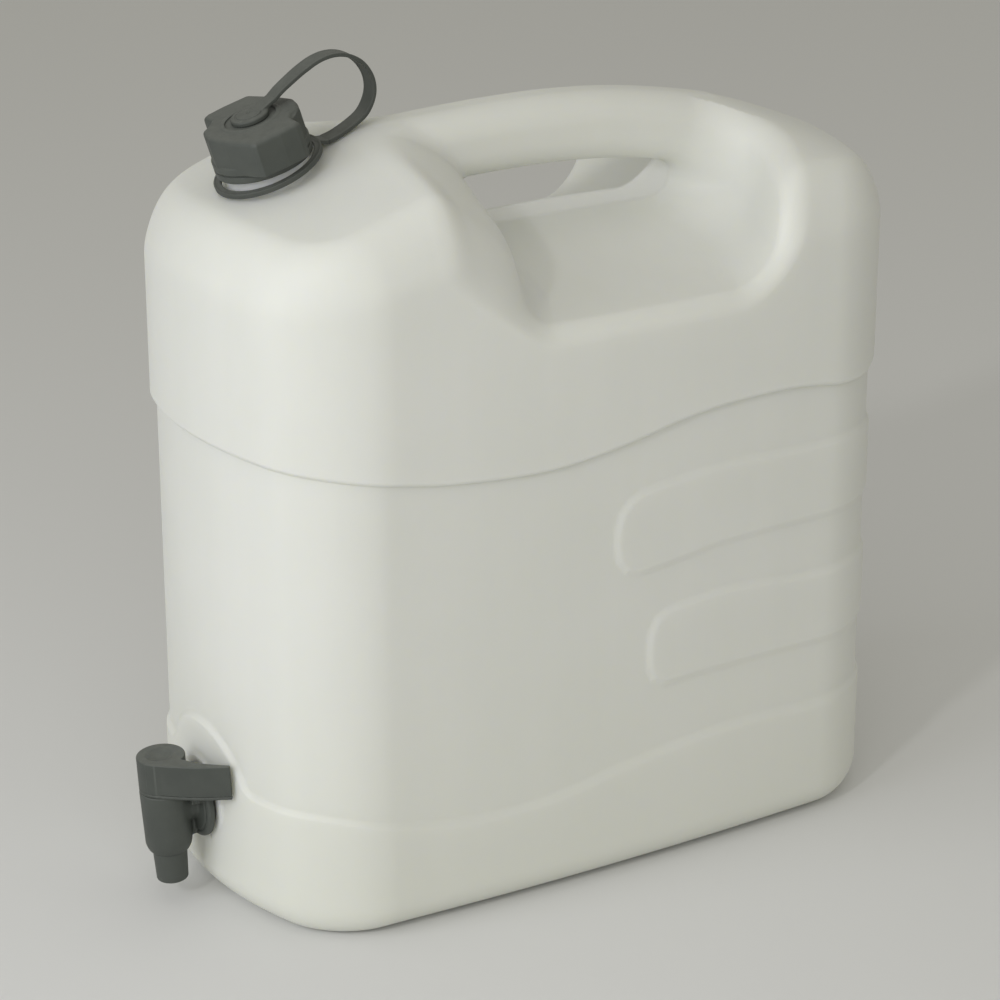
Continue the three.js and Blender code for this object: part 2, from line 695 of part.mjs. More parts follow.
function named(name, geometry, finish) {
  const material = new THREE.MeshStandardMaterial({ ...finish, metalness: 0 });
  const mesh = new THREE.Mesh(geometry, material);
  mesh.name = name;
  return mesh;
}

// A group whose z axis leans towards -X.
function leaningGroup(origin, lean, ...meshes) {
  const group = new THREE.Group();
  group.position.set(...origin);
  group.rotation.y = -lean;
  return group.add(...meshes);
}

const root = new THREE.Group();
root.add(
  named("can_body", canBody(), FINISH.can),
  leaningGroup(
    NECK_ORIGIN,
    NECK_TILT,
    named("screw_cap", screwCap(), FINISH.moulding),
    named("cap_seal", capSeal(), FINISH.seal),
    named("strap_eye", strapEye(), FINISH.strap),
  ),
  leaningGroup(RING_ORIGIN, RING_TILT, named("strap_ring", strapRing(), FINISH.strap)),
  named("strap_band", strapBand(), FINISH.strap),
  leaningGroup(
    TAP_ORIGIN,
    TAP_LEAN,
    named("tap_housing", tapHousing(), FINISH.moulding),
    named("tap_gasket", tapGasket(), FINISH.gasket),
    named("tap_plug", tapPlug(), FINISH.plug),
    named("plug_seal_upper", oring(ORING_Z.upper), FINISH.seal),
    named("plug_seal_lower", oring(ORING_Z.lower), FINISH.seal),
    named("tap_lever", tapLever(), FINISH.moulding),
  ),
);

export default root;
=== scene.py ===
"""Jerry can with a drain tap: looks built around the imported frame.

Lengths inside the builders are millimetres in the row frame; meshes are written in metres.
"""
import math
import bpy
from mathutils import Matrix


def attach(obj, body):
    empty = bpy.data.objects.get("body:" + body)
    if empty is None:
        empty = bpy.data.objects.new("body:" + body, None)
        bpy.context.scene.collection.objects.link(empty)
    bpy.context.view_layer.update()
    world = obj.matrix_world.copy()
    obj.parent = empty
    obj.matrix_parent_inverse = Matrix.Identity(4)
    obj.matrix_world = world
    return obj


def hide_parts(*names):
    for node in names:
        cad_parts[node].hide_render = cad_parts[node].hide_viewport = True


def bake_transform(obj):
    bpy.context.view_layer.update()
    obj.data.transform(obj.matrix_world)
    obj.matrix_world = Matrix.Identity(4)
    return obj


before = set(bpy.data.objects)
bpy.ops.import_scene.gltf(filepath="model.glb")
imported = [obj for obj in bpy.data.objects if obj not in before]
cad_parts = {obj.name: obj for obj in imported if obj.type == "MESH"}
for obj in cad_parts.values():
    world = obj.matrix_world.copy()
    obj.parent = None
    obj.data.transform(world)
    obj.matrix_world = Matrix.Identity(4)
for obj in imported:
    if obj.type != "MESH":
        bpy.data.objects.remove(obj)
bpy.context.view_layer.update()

from concurrent.futures import ThreadPoolExecutor

import bmesh
import bpy
import numpy as np
from mathutils import Matrix, Vector

# ---------------------------------------------------------------------------------------------------------------------
# implicit shapes: each function returns a value below zero inside, close to a distance in millimetres near the surface
# ---------------------------------------------------------------------------------------------------------------------


def both(a, b, r):
    """inside both, with the convex edge rounded to radius r"""
    if np.isscalar(r) and r <= 0:
        return np.maximum(a, b)
    return np.minimum(np.maximum(a + r, b + r), 0) + np.hypot(np.maximum(a + r, 0), np.maximum(b + r, 0)) - r


def either(a, b, r):
    """inside either, with the hollow edge filled to radius r"""
    return -both(-a, -b, r)


def cut(a, b, r):
    """a without b, with the new edge rounded"""
    return both(a, -b, r)


def smooth(t, a, b):
    t = np.clip((t - a) / (b - a), 0, 1)
    return t * t * (3 - 2 * t)


def table(points):
    """a smooth curve through [x, value] points, as a fast lookup"""
    p = np.array(points, float)
    n = len(p)
    m = np.zeros(n)
    m[1:-1] = (p[2:, 1] - p[:-2, 1]) / (p[2:, 0] - p[:-2, 0])
    m[0] = (p[1, 1] - p[0, 1]) / (p[1, 0] - p[0, 0])
    m[-1] = (p[-1, 1] - p[-2, 1]) / (p[-1, 0] - p[-2, 0])
    xs = np.linspace(p[0, 0], p[-1, 0], 4001)
    i = np.clip(np.searchsorted(p[:, 0], xs, side="right") - 1, 0, n - 2)
    h = p[i + 1, 0] - p[i, 0]
    t = (xs - p[i, 0]) / h
    v = (2 * t**3 - 3 * t**2 + 1) * p[i, 1] + (t**3 - 2 * t**2 + t) * h * m[i] + (3 * t**2 - 2 * t**3) * p[i + 1, 1] + (t**3 - t**2) * h * m[i + 1]
    k = 41  # a little smoothing takes the kinks out of the slope
    w = np.hanning(k + 2)[1:-1]
    w /= w.sum()
    v = np.convolve(np.r_[np.full(k // 2, v[0]), v, np.full(k // 2, v[-1])], w, "valid")
    return lambda x: np.interp(x, xs, v)


def polygon2(points):
    """distance to a closed polygon in a plane, below zero inside"""
    P = np.array(points, float)

    def f(u, v):
        d = np.full(np.shape(u), 1e9)
        inside = np.zeros(np.shape(u), bool)
        for i in range(len(P)):
            ax, ay = P[i]
            bx, by = P[(i + 1) % len(P)]
            ex, ey = bx - ax, by - ay
            wx, wy = u - ax, v - ay
            t = np.clip((wx * ex + wy * ey) / (ex * ex + ey * ey), 0, 1)
            d = np.minimum(d, (wx - ex * t) ** 2 + (wy - ey * t) ** 2)
            if ay != by:
                inside ^= ((ay > v) != (by > v)) & (u < (bx - ax) * (v - ay) / (by - ay) + ax)
        d = np.sqrt(d)
        return np.where(inside, -d, d)

    return f


# ---------------------------------------------------------------------------------------------------------------------
# meshing an implicit shape: a vertex in each grid cell the surface crosses, moved onto the surface
# ---------------------------------------------------------------------------------------------------------------------


def sample(f, p):
    """f at many points, worked out in threads"""
    out = np.empty(len(p))
    step = 20000

    def part(i):
        q = p[i : i + step]
        out[i : i + step] = f(q[:, 0], q[:, 1], q[:, 2])

    with ThreadPoolExecutor(4) as pool:
        list(pool.map(part, range(0, len(p), step)))
    return out


def gradient(f, p, e=0.04):
    g = np.empty_like(p)
    for k in range(3):
        a = p.copy()
        b = p.copy()
        a[:, k] += e
        b[:, k] -= e
        g[:, k] = (sample(f, a) - sample(f, b)) / (2 * e)
    return g


def onto(f, p, rounds=4, most=1.0):
    for _ in range(rounds):
        v = sample(f, p)
        g = gradient(f, p)
        step = v / np.maximum((g * g).sum(1), 0.15)
        move = g * step[:, None]
        size = np.linalg.norm(move, axis=1)
        move *= np.minimum(1, most / np.maximum(size, 1e-9))[:, None]
        p = p - move
    return p


def net(f, xs, ys, zs, warp=None):
    """vertices and quads of the zero surface of f on the grid xs, ys, zs; warp(x, y, z) moves the grid points"""
    nx, ny, nz = len(xs), len(ys), len(zs)
    V = np.empty((nx, ny, nz), np.float32)
    step = max(1, int(2.5e5 / (ny * nz)))

    def fill(i):
        X, Y, Z = np.meshgrid(xs[i : i + step], ys, zs, indexing="ij")
        if warp:
            X, Y, Z = warp(X, Y, Z)
        V[i : i + step] = f(X, Y, Z)

    with ThreadPoolExecutor(4) as pool:
        list(pool.map(fill, range(0, nx, step)))
    S = V < 0
    c = S[:-1, :-1, :-1].astype(np.int8)
    total = np.zeros(c.shape, np.int8)
    for dx in (0, 1):
        for dy in (0, 1):
            for dz in (0, 1):
                total += S[dx : nx - 1 + dx, dy : ny - 1 + dy, dz : nz - 1 + dz]
    cells = np.argwhere((total > 0) & (total < 8))
    index = np.full((nx - 1, ny - 1, nz - 1), -1, np.int32)
    index[cells[:, 0], cells[:, 1], cells[:, 2]] = np.arange(len(cells))
    corner = {}
    place = {}
    for dx in (0, 1):
        for dy in (0, 1):
            for dz in (0, 1):
                i, j, k = cells[:, 0] + dx, cells[:, 1] + dy, cells[:, 2] + dz
                corner[dx, dy, dz] = V[i, j, k].astype(float)
                P = (xs[i], ys[j], zs[k])
                if warp:
                    P = warp(*P)
                place[dx, dy, dz] = np.stack(P, 1)
    acc = np.zeros((len(cells), 3))
    count = np.zeros(len(cells))
    for a in corner:
        for k in range(3):
            if a[k] == 0:
                b = tuple(a[q] + (q == k) for q in range(3))
                va, vb = corner[a], corner[b]
                on = (va < 0) != (vb < 0)
                t = np.where(on, va / np.where(on, va - vb, 1), 0)[:, None]
                acc += np.where(on[:, None], place[a] * (1 - t) + place[b] * t, 0)
                count += on
    verts = acc / count[:, None]
    quads = []
    for k in range(3):
        o = [1, 1, 1]
        o[k] = 0
        A = S[tuple(slice(0, n - 1) if q == k else slice(1, n - 1) for q, n in enumerate((nx, ny, nz)))]
        B = S[tuple(slice(1, n) if q == k else slice(1, n - 1) for q, n in enumerate((nx, ny, nz)))]
        e = np.argwhere(A != B) + np.array([0 if q == k else 1 for q in range(3)])
        inside_first = S[e[:, 0], e[:, 1], e[:, 2]]
        u, v = [(1, 2), (2, 0), (0, 1)][k]
        du, dv = np.zeros(3, int), np.zeros(3, int)
        du[u] = 1
        dv[v] = 1
        q = [e - du - dv, e - dv, e, e - du]
        q = np.stack([index[c[:, 0], c[:, 1], c[:, 2]] for c in q], 1)
        q[~inside_first] = q[~inside_first][:, ::-1]
        quads.append(q)
    return verts, np.concatenate(quads)


def spaced(lo, hi, h, fine=()):
    """grid coordinates from lo to hi with spacing h, and finer inside each (from, to, spacing)"""
    out = [lo]
    while out[-1] < hi:
        x = out[-1]
        s = h
        for a, b, hf in fine:
            d = max(a - x, x - b, 0)
            s = min(s, hf + 0.25 * d)
        out.append(x + s)
    return np.array(out)


def to_mesh(name, verts, faces, smooth_shade=True):
    """verts in millimetres, faces as an (n, 3 or 4) array or a list"""
    me = bpy.data.meshes.new(name)
    verts = np.asarray(verts, float) / 1000
    faces = np.asarray(faces)
    n, k = faces.shape
    me.vertices.add(len(verts))
    me.vertices.foreach_set("co", verts.astype(np.float32).ravel())
    me.loops.add(n * k)
    me.loops.foreach_set("vertex_index", faces.astype(np.int32).ravel())
    me.polygons.add(n)
    me.polygons.foreach_set("loop_start", np.arange(0, n * k, k, dtype=np.int32))
    me.polygons.foreach_set("loop_total", np.full(n, k, np.int32))
    me.update(calc_edges=True)
    me.validate()
    if smooth_shade:
        me.polygons.foreach_set("use_smooth", np.ones(len(me.polygons), bool))
    ob = bpy.data.objects.new(name, me)
    bpy.context.scene.collection.objects.link(ob)
    return ob


def coords(ob):
    co = np.empty(len(ob.data.vertices) * 3, np.float32)
    ob.data.vertices.foreach_get("co", co)
    return co.reshape(-1, 3).astype(float) * 1000


def thin(ob, faces):
    """fewer triangles where the surface is flat"""
    have = sum(len(p.vertices) - 2 for p in ob.data.polygons) if len(ob.data.polygons) < 1000 else int((np.array([0]) + _loops(ob)).sum())
    if have <= faces:
        return
    m = ob.modifiers.new("thin", "DECIMATE")
    m.ratio = faces / have
    dg = bpy.context.evaluated_depsgraph_get()
    new = bpy.data.meshes.new_from_object(ob.evaluated_get(dg))
    ob.modifiers.remove(m)
    old = ob.data
    ob.data = new
    bpy.data.meshes.remove(old)


def _loops(ob):
    t = np.empty(len(ob.data.polygons), np.int32)
    ob.data.polygons.foreach_get("loop_total", t)
    return t - 2


def tidy(ob, least=60):
    """drops the few loose slivers that thinning can leave beside the one body"""
    n = len(ob.data.polygons)
    total = np.empty(n, np.int32)
    ob.data.polygons.foreach_get("loop_total", total)
    start = np.empty(n, np.int32)
    ob.data.polygons.foreach_get("loop_start", start)
    vi = np.empty(len(ob.data.loops), np.int32)
    ob.data.loops.foreach_get("vertex_index", vi)
    lab = np.arange(len(ob.data.vertices))
    last = start + total - 1
    follows = np.arange(len(vi)) + 1
    follows[last] = start
    a, b = vi, vi[follows]
    for _ in range(200):
        la, lb = lab[a], lab[b]
        m = la != lb
        if not m.any():
            break
        np.minimum.at(lab, np.maximum(la[m], lb[m]), np.minimum(la[m], lb[m]))
        while True:
            nxt = lab[lab]
            if np.array_equal(nxt, lab):
                break
            lab = nxt
    piece_of = lab[vi[start]]
    count = np.bincount(piece_of, minlength=len(lab))
    keep = count[piece_of] >= least
    if keep.all():
        return
    kept = [tuple(vi[s : s + t]) for s, t, k in zip(start, total, keep) if k]
    used = np.zeros(len(lab), bool)
    used[[v for f in kept for v in f]] = True
    new_at = np.cumsum(used) - 1
    co = coords(ob)[used] / 1000
    me = bpy.data.meshes.new(ob.data.name + "_tidy")
    me.from_pydata([tuple(c) for c in co], [], [tuple(int(new_at[v]) for v in f) for f in kept])
    old = ob.data
    ob.data = me
    bpy.data.meshes.remove(old)


def weld(ob, v):
    """moves the corners to v and joins those that fell on one spot, so that no face is left without area"""
    ob.data.vertices.foreach_set("co", (v / 1000).astype(np.float32).ravel())
    bm = bmesh.new()
    bm.from_mesh(ob.data)
    bmesh.ops.remove_doubles(bm, verts=bm.verts[:], dist=2e-7)
    bm.to_mesh(ob.data)
    bm.free()
    return coords(ob)


def solid(name, f, xs, ys, zs, faces=None, warp=None, matrix=None, rounds=4):
    """a finished piece from an implicit shape; matrix places a shape made in its own frame"""
    v, q = net(f, xs, ys, zs, warp)
    v = onto(f, v, rounds)
    ob = to_mesh(name, v, q)
    if faces:
        thin(ob, faces)
        tidy(ob)
        v = weld(ob, onto(f, coords(ob), 2))
    else:
        v = coords(ob)
    g = gradient(f, v)
    nrm = g / np.maximum(np.linalg.norm(g, axis=1), 1e-9)[:, None]
    if matrix is not None:
        M = np.array(matrix, float)
        v = v @ M[:3, :3].T + M[:3, 3]
        nrm = nrm @ M[:3, :3].T
    ob.data.vertices.foreach_set("co", (v / 1000).astype(np.float32).ravel())
    ob.data.update()
    ob.data.polygons.foreach_set("use_smooth", np.ones(len(ob.data.polygons), bool))
    ob.data.normals_split_custom_set_from_vertices(nrm.astype(np.float32))
    return ob


# ---------------------------------------------------------------------------------------------------------------------
# can body
# ---------------------------------------------------------------------------------------------------------------------
HALF_LENGTH, HALF_WIDTH, END_BULGE, SIDE_BULGE, CORNER_R = 185.0, 97.2, 26.9, 7.3, 31.0
UPPER_STEP, LOWER_STEP, PAD_STEP, BOTTOM_R = 3.5, 2.0, 1.25, 18.0
CREST = table([[-190, 349], [-165, 357.5], [-140, 366], [-118, 373.6], [-108, 377.4], [-95, 382.6], [-82, 384.6], [-66, 385.4], [-45, 386.5], [-20, 387.4], [15, 387.4], [48, 385.2], [78, 381], [109, 374.8], [130, 369], [150, 361.9], [170, 353.8], [190, 346]])
LEDGE_UP = table([[-190, 246], [-159, 241.6], [-124, 236], [-98, 232], [-60, 229.3], [-38, 229.4], [-15, 232], [8, 236], [32, 241], [56, 244], [81, 245], [106, 244.4], [133, 241], [154, 240], [190, 246]])
LEDGE_LOW = table([[-190, 70], [-159, 67.9], [-127, 61.6], [-88, 55.3], [-48, 55.2], [-25, 58], [-1, 62.5], [23, 65.8], [48, 68.4], [74, 69.8], [127, 68], [190, 70]])
ARCH_Z, ARCH_R = 51.5, 44.0
TOP_FALL = table([[-190, 0.22], [-150, 0.2], [-95, 0.22], [-80, 0.34], [-60, 0.4], [60, 0.4], [110, 0.32], [150, 0.18], [190, 0.12]])
TOP_RIDGE = table([[-190, 30], [-100, 20], [-60, 14], [60, 14], [120, 20], [190, 30]])  # how rounded its ridge is
TOP_EDGE = table([[-190, 25], [-150, 27], [-60, 30], [60, 30], [150, 28], [190, 24]])
BAR_HALF_W, BAR_HALF_H, BAR_R = 18.0, 17.5, 14.5
RIDGE_Z, RIM_Z, FIN_TOP, FIN_HALF = 325.0, 300.0, 332.0, 1.3
NECK_TILT = math.radians(18)
NECK_AT = np.array([-140.36, 0, 368.84])
NECK_OUT_R, NECK_IN_R, NECK_TOP = 20.5, 16.5, 21.0
TAP_LEAN = math.radians(3.3)
TAP_AT = np.array([-207.1, 0, 51.8])


def tilt(angle, at):
    """a frame whose z axis leans towards -X by angle"""
    c, s = math.cos(angle), math.sin(angle)
    return Matrix(((c, 0, -s, at[0]), (0, 1, 0, at[1]), (s, 0, c, at[2]), (0, 0, 0, 1)))


NECK = tilt(NECK_TILT, NECK_AT)
TAP = tilt(TAP_LEAN, TAP_AT)


def local(x, y, z, angle, at):
    c, s = math.cos(angle), math.sin(angle)
    a, b = x - at[0], z - at[2]
    return c * a + s * b, y - at[1], -s * a + c * b


def outline(x, y):
    f1 = np.abs(x) - (HALF_LENGTH - END_BULGE * (y / HALF_WIDTH) ** 2)
    f2 = np.abs(y) - (HALF_WIDTH - SIDE_BULGE * (x / HALF_LENGTH) ** 2)
    return both(f1, f2, CORNER_R)


def low_ledge(x, y):
    return LEDGE_LOW(x)


def sheet(f, u0, u1, v0, v1, h=0.5):
    """a plane function as a lookup on a fine grid"""
    us, vs = np.arange(u0, u1 + h, h), np.arange(v0, v1 + h, h)
    U, V = np.meshgrid(us, vs, indexing="ij")
    T = f(U, V)

    def g(u, v):
        a = np.clip((u - u0) / h, 0, len(us) - 1.001)
        b = np.clip((v - v0) / h, 0, len(vs) - 1.001)
        i, j = a.astype(int), b.astype(int)
        a, b = a - i, b - j
        near = (T[i, j] * (1 - a) + T[i + 1, j] * a) * (1 - b) + (T[i, j + 1] * (1 - a) + T[i + 1, j + 1] * a) * b
        out = np.maximum(np.maximum(u0 - u, u - u1), np.maximum(v0 - v, v - v1))
        return near + np.maximum(out, 0)

    return g


PAD_1 = polygon2([(-5, 182), (-4.5, 190), (-2, 198), (3, 204), (10, 207.5), (21, 209.5), (45, 212), (77, 213), (109, 211.5), (260, 211), (260, 171), (110, 171), (59, 170), (34, 166.5), (10, 164), (2, 166), (-3, 172)])
PAD_2 = polygon2([(15.5, 112), (15.5, 124), (17, 132), (21, 138.5), (27, 141.5), (35, 143), (60, 145), (85, 144), (112, 141), (260, 140.5), (260, 101), (112, 101), (87, 101.6), (48, 101.6), (26, 100.5), (19, 104)])


PAD_1 = sheet(PAD_1, -40, 215, 130, 245)
PAD_2 = sheet(PAD_2, -20, 215, 70, 175)


def can_skin(x, y, z):
    q = np.abs(y)
    d = outline(x, y)
    # walls, with the overhanging upper section and the proud lower section
    zu, zl = LEDGE_UP(x), LEDGE_LOW(x)
    su = z - zu
    upper = both(d - UPPER_STEP, -su, 2.6)
    wall = either(upper, d, 1.3)
    sl = z - zl
    arch = np.hypot(y, z - ARCH_Z) - ARCH_R
    arch = np.where(x < -60, arch, 99.0)
    sl = either(sl, arch, 3.5)
    side = smooth(x, -165, -110) * smooth(-x, -172, -130)  # the steps are softer along the sides than at the ends
    out = LOWER_STEP * (1 - 0.35 * side) * (1 - smooth(sl, -3.4 - 1.8 * side, 0.9 + 0.8 * side))
    # grip pads that wrap round the rear end
    for pad in (PAD_1, PAD_2):
        out = out + (PAD_STEP + 0.75 * smooth(x, 120, 172)) * (1 - smooth(pad(np.where(x > 150, x + 20, x), z), -3.2, 2.2))
    wall = np.where(z < zu - 6, d - out, wall)
    # the top falls from a rounded ridge to both sides, and rounds over into the walls
    fall, w = TOP_FALL(x), TOP_RIDGE(x)
    root = np.sqrt(q * q + w * w)
    slope = (CREST(x + 1) - CREST(x - 1)) / 2
    top = (z - CREST(x) + fall * (root - w)) / np.sqrt(1 + slope * slope + (fall * q / root) ** 2)
    f = both(wall, top, TOP_EDGE(x))
    return both(f, -z, BOTTOM_R)


def recess(x, y, z):
    """the scoop under and beside the handle bar"""
    q = np.minimum(np.abs(y), 112)
    a = np.clip(q / 100, 0, 1)
    floor = RIM_Z + (RIDGE_Z - RIM_Z) * (1 - a) ** 1.35
    above = floor - z
    k = 0.31
    base = -22.5 - 0.2 * q - 12 * smooth(q, 60, 104)
    front = (base - k * (np.clip(z, 290, 400) - 300) - x) / math.sqrt(1 + k * k)
    m = 0.3
    back = 85.5 + 13 * np.exp(-(((q - 42) / 30) ** 2)) + m * (np.clip(z, 290, 400) - 300)
    rear = (x - back) / math.sqrt(1 + m * m)
    side = both(above, rear, 21)
    return both(side, front, 13)


def bar(x, y, z):
    c = CREST(x) - BAR_HALF_H
    slope = (CREST(x + 1) - CREST(x - 1)) / 2
    dz = (z - c) / np.sqrt(1 + slope * slope)
    u, v = np.abs(y) - (BAR_HALF_W - BAR_R), np.abs(dz) - (BAR_HALF_H - BAR_R)
    return np.hypot(np.maximum(u, 0), np.maximum(v, 0)) + np.minimum(np.maximum(u, v), 0) - BAR_R


def fin(x, y, z):
    """the trimmed seam that stands round the hole on the middle plane"""
    rim = FIN_TOP + 0.8 * np.sin((x + 20) / 26.0)
    open_ = both(rim - z, x - (79 + 0.55 * (z - 345)), 15)
    open_ = both(open_, -(x + 28 + 0.53 * (z - 325)), 10)
    plate = np.abs(y) - FIN_HALF
    return both(both(plate, -open_, 1.2), np.abs(x - 20) - 78, 1)


def neck(x, y, z):
    u, v, w = local(x, y, z, NECK_TILT, NECK_AT)
    r = np.hypot(u, v)
    return both(both(r - NECK_OUT_R, w - NECK_TOP, 1.0), -w - 16, 1), r, w


def build_thread():
    """the screw ridge on the neck: one rounded section swept twice round, sunk a little into the tube"""
    section = np.array([(19.8, -1.15), (20.6, -0.95), (21.0, -0.6), (21.12, -0.25), (21.12, 0.25), (21.0, 0.6), (20.6, 0.95), (19.8, 1.15)])
    n, k = 260, len(section)
    th = np.linspace(-2.9, 10.1, n)
    height = 0.22 + 0.78 * smooth(th, -2.9, -2.2) * smooth(-th, -10.1, -9.4)
    r = 19.8 + (section[None, :, 0] - 19.8) * height[:, None]
    w = 8.5 + 6.0 * th[:, None] / (2 * math.pi) + section[None, :, 1]
    p = np.stack([r * np.cos(th)[:, None], r * np.sin(th)[:, None], w], axis=2).reshape(-1, 3)
    i, j = np.meshgrid(np.arange(n - 1), np.arange(k), indexing="ij")
    i, j = i.ravel(), j.ravel()
    jn = (j + 1) % k
    quads = np.stack([i * k + j, (i + 1) * k + j, (i + 1) * k + jn, i * k + jn], axis=1)
    e = (n - 1) * k
    ends = np.array([(0, 1, 6, 7), (1, 2, 5, 6), (2, 3, 4, 5), (e + 7, e + 6, e + 1, e), (e + 6, e + 5, e + 2, e + 1), (e + 5, e + 4, e + 3, e + 2)])
    faces = np.vstack([quads, ends])
    q = p[faces]
    vol = np.einsum("ij,ij->i", q[:, 0], np.cross(q[:, 1], q[:, 2])).sum() + np.einsum("ij,ij->i", q[:, 0], np.cross(q[:, 2], q[:, 3])).sum()
    if vol < 0:
        faces = faces[:, ::-1]
    M = np.array(NECK, float)
    return to_mesh("neck_thread", p @ M[:3, :3].T + M[:3, 3], faces)


def can(x, y, z):
    skin = f = can_skin(x, y, z)
    rec = recess(x, y, z)
    f = cut(f, rec, 10.0 + 25 * smooth(-x, -14, 30) * smooth(z, 298, 335) + 3 * smooth(x, 60, 96) * smooth(z, 300, 330))
    b = bar(x, y, z)
    b = both(b, np.abs(x - 15) - 102, 2)
    fill = 5 + 17 * smooth(x, 10, 78)
    f = np.maximum(either(f, b, fill), np.minimum(skin, b))
    f = either(f, both(fin(x, y, z), skin + 0.5, 0), 0.9)
    n, r, w = neck(x, y, z)
    f = either(f, n, 2.5)
    f = cut(f, both(r - NECK_IN_R, -w - 60, 3), 0.8)
    # facing for the tap, and the hole behind it
    u, v, w = local(x, y, z, TAP_LEAN, TAP_AT)
    rr = np.hypot(v, w)
    boss = both(rr - 21.0, np.abs(u - 27) - 7.4, 0.5)
    f = either(f, boss, 1.5)
    f = cut(f, both(rr - 21.4, np.abs(u - 12.3) - 7.3, 0.3), 0.5)
    f = cut(f, both(rr - 13.4, np.abs(u - 30) - 26, 0.3), 0.4)
    # underside: the ends stand as feet, and the panel between them is drawn up; the pinched seam on the middle line is
    # not modelled
    f = cut(f, both(z - 0.9, np.abs(x) - 96, 0.8), 1.6)
    f = cut(f, both(z - 2.6, outline(x, y) + 34, 2.0), 2.0)
    return f


def build_can():
    h = 2.1
    k = 1.0
    xs = spaced(-196, 196, h, [(-190, -170, 1.1 * k), (-170, -118, 1.5 * k), (-60, 0, 1.6 * k), (176, 190, 1.2 * k), (80, 100, 1.7 * k)])
    ys = spaced(-104, 104, h, [(-101.5, -90, 1.0 * k), (90, 101.5, 1.0 * k), (-3.2, 3.2, 0.8 * k), (-46, 46, 1.7 * k)])
    # rows follow the ledges: grid height g is the height at the mean ledge, and the warp slides it along the ledge curves
    zu0, zl0 = 238.0, 63.0

    def warp(x, y, g):
        du, dl = LEDGE_UP(x) - zu0, LEDGE_LOW(x) - zl0
        wu = np.interp(g, [zl0 + 12, zu0 - 14, zu0 + 14, zu0 + 62], [0, 1, 1, 0])
        wl = np.interp(g, [10, zl0 - 12, zl0 + 12, zl0 + 40], [0, 1, 1, 0])
        return x, y, g + du * wu + dl * wl

    zs = spaced(-4, 404, h, [(zu0 - 2.2, zu0 + 3.2, 0.55 * k), (zl0 - 3.2, zl0 + 2.2, 0.6 * k), (67, 100, 1.6 * k), (99, 104, 1.3 * k), (138, 148, 1.3 * k), (162, 174, 1.3 * k), (204, 214, 1.3 * k), (-1, 5, 0.8 * k), (297, 340, 1.7 * k), (360, 392, 1.5 * k)])
    return solid("can_shell", can, xs, ys, zs, faces=190000, warp=warp, rounds=4)


# ---------------------------------------------------------------------------------------------------------------------
# cap, seal, strap: made in the neck's own frame, with w along the neck
# ---------------------------------------------------------------------------------------------------------------------
CAP_BOTTOM, CAP_TOP, GRIP_BOTTOM, COLLAR_R, CAP_ROOF_W, CAP_BORE_R = 5.0, 27.4, 9.3, 24.0, 24.0, 21.4
PITCH = 6.0
GRIP_HALF = [(-24, 0), (-20.8, -11.5), (-14.3, -27.6), (-13.2, -28.8), (0, -29.9), (9, -29.6), (11.2, -28.4), (11.4, -25), (11.6, -20.2), (14.8, -16), (20.2, -12.8), (22.8, -6)]


def drawn_in(points, by):
    return [(x * (1 - by / math.hypot(x, y)), y * (1 - by / math.hypot(x, y))) for x, y in points]


GRIP = polygon2(drawn_in(GRIP_HALF + [(-x, -y) for x, y in GRIP_HALF], 1.1))


def ridge(w, th, shift, half, pitch=PITCH):
    """distance from a screw ridge's middle, less half its width"""
    turn = w - 8.5 - shift - pitch * th / (2 * math.pi)
    return np.abs(turn - pitch * np.round(turn / pitch)) - half


def cap(u, v, w):
    r, th = np.hypot(u, v), np.arctan2(v, u)
    grip = both(both(GRIP(u, v) - 0.9, w - CAP_TOP + 0.0006 * r * r, 2.3), GRIP_BOTTOM - w, 0.6)
    f = either(grip, both(r - COLLAR_R, np.abs(w - 9.0) - 4.0, 0.6), 0.2)
    f = either(f, both(r - 22.8, np.abs(w - 15.4) - 10.4, 0.6), 0.6)  # the wall behind the notches
    f = cut(f, both(22.9 - r, np.abs(w - 8.75) - 0.45, 0.15), 0.2)
    f = either(f, both(np.abs(r - 13.4) - 1.0, w - CAP_TOP - 0.15, 0.3), 1.2)  # faint rim round the eye
    f = cut(f, both(r - 12.5, CAP_TOP - 0.5 - w, 0.4), 0.5)
    bore = both(r - CAP_BORE_R, w - CAP_ROOF_W, 0.7)
    bore = cut(bore, both(both(ridge(w, th, PITCH / 2, 0.8), 20.8 - r, 0.25), np.abs(w - 12.5) - 6.2, 0.4), 0.2)
    f = cut(f, bore, 0.35)
    return cut(f, both(r - 3.5, 15 - w, 0.1), 0.3)


def cap_seal(u, v, w):
    r = np.hypot(u, v)
    f = both(both(r - 20.8, 5.2 - r, 0.3), np.abs(w - 22.8) - 0.9, 0.35)
    for R in (17.6, 19.2):
        f = cut(f, both(np.abs(r - R) - 0.3, w - 22.1, 0.15), 0.15)
    return f


EYE_LOW, EYE_TOP, EYE_R = 27.2, 30.3, 9.4


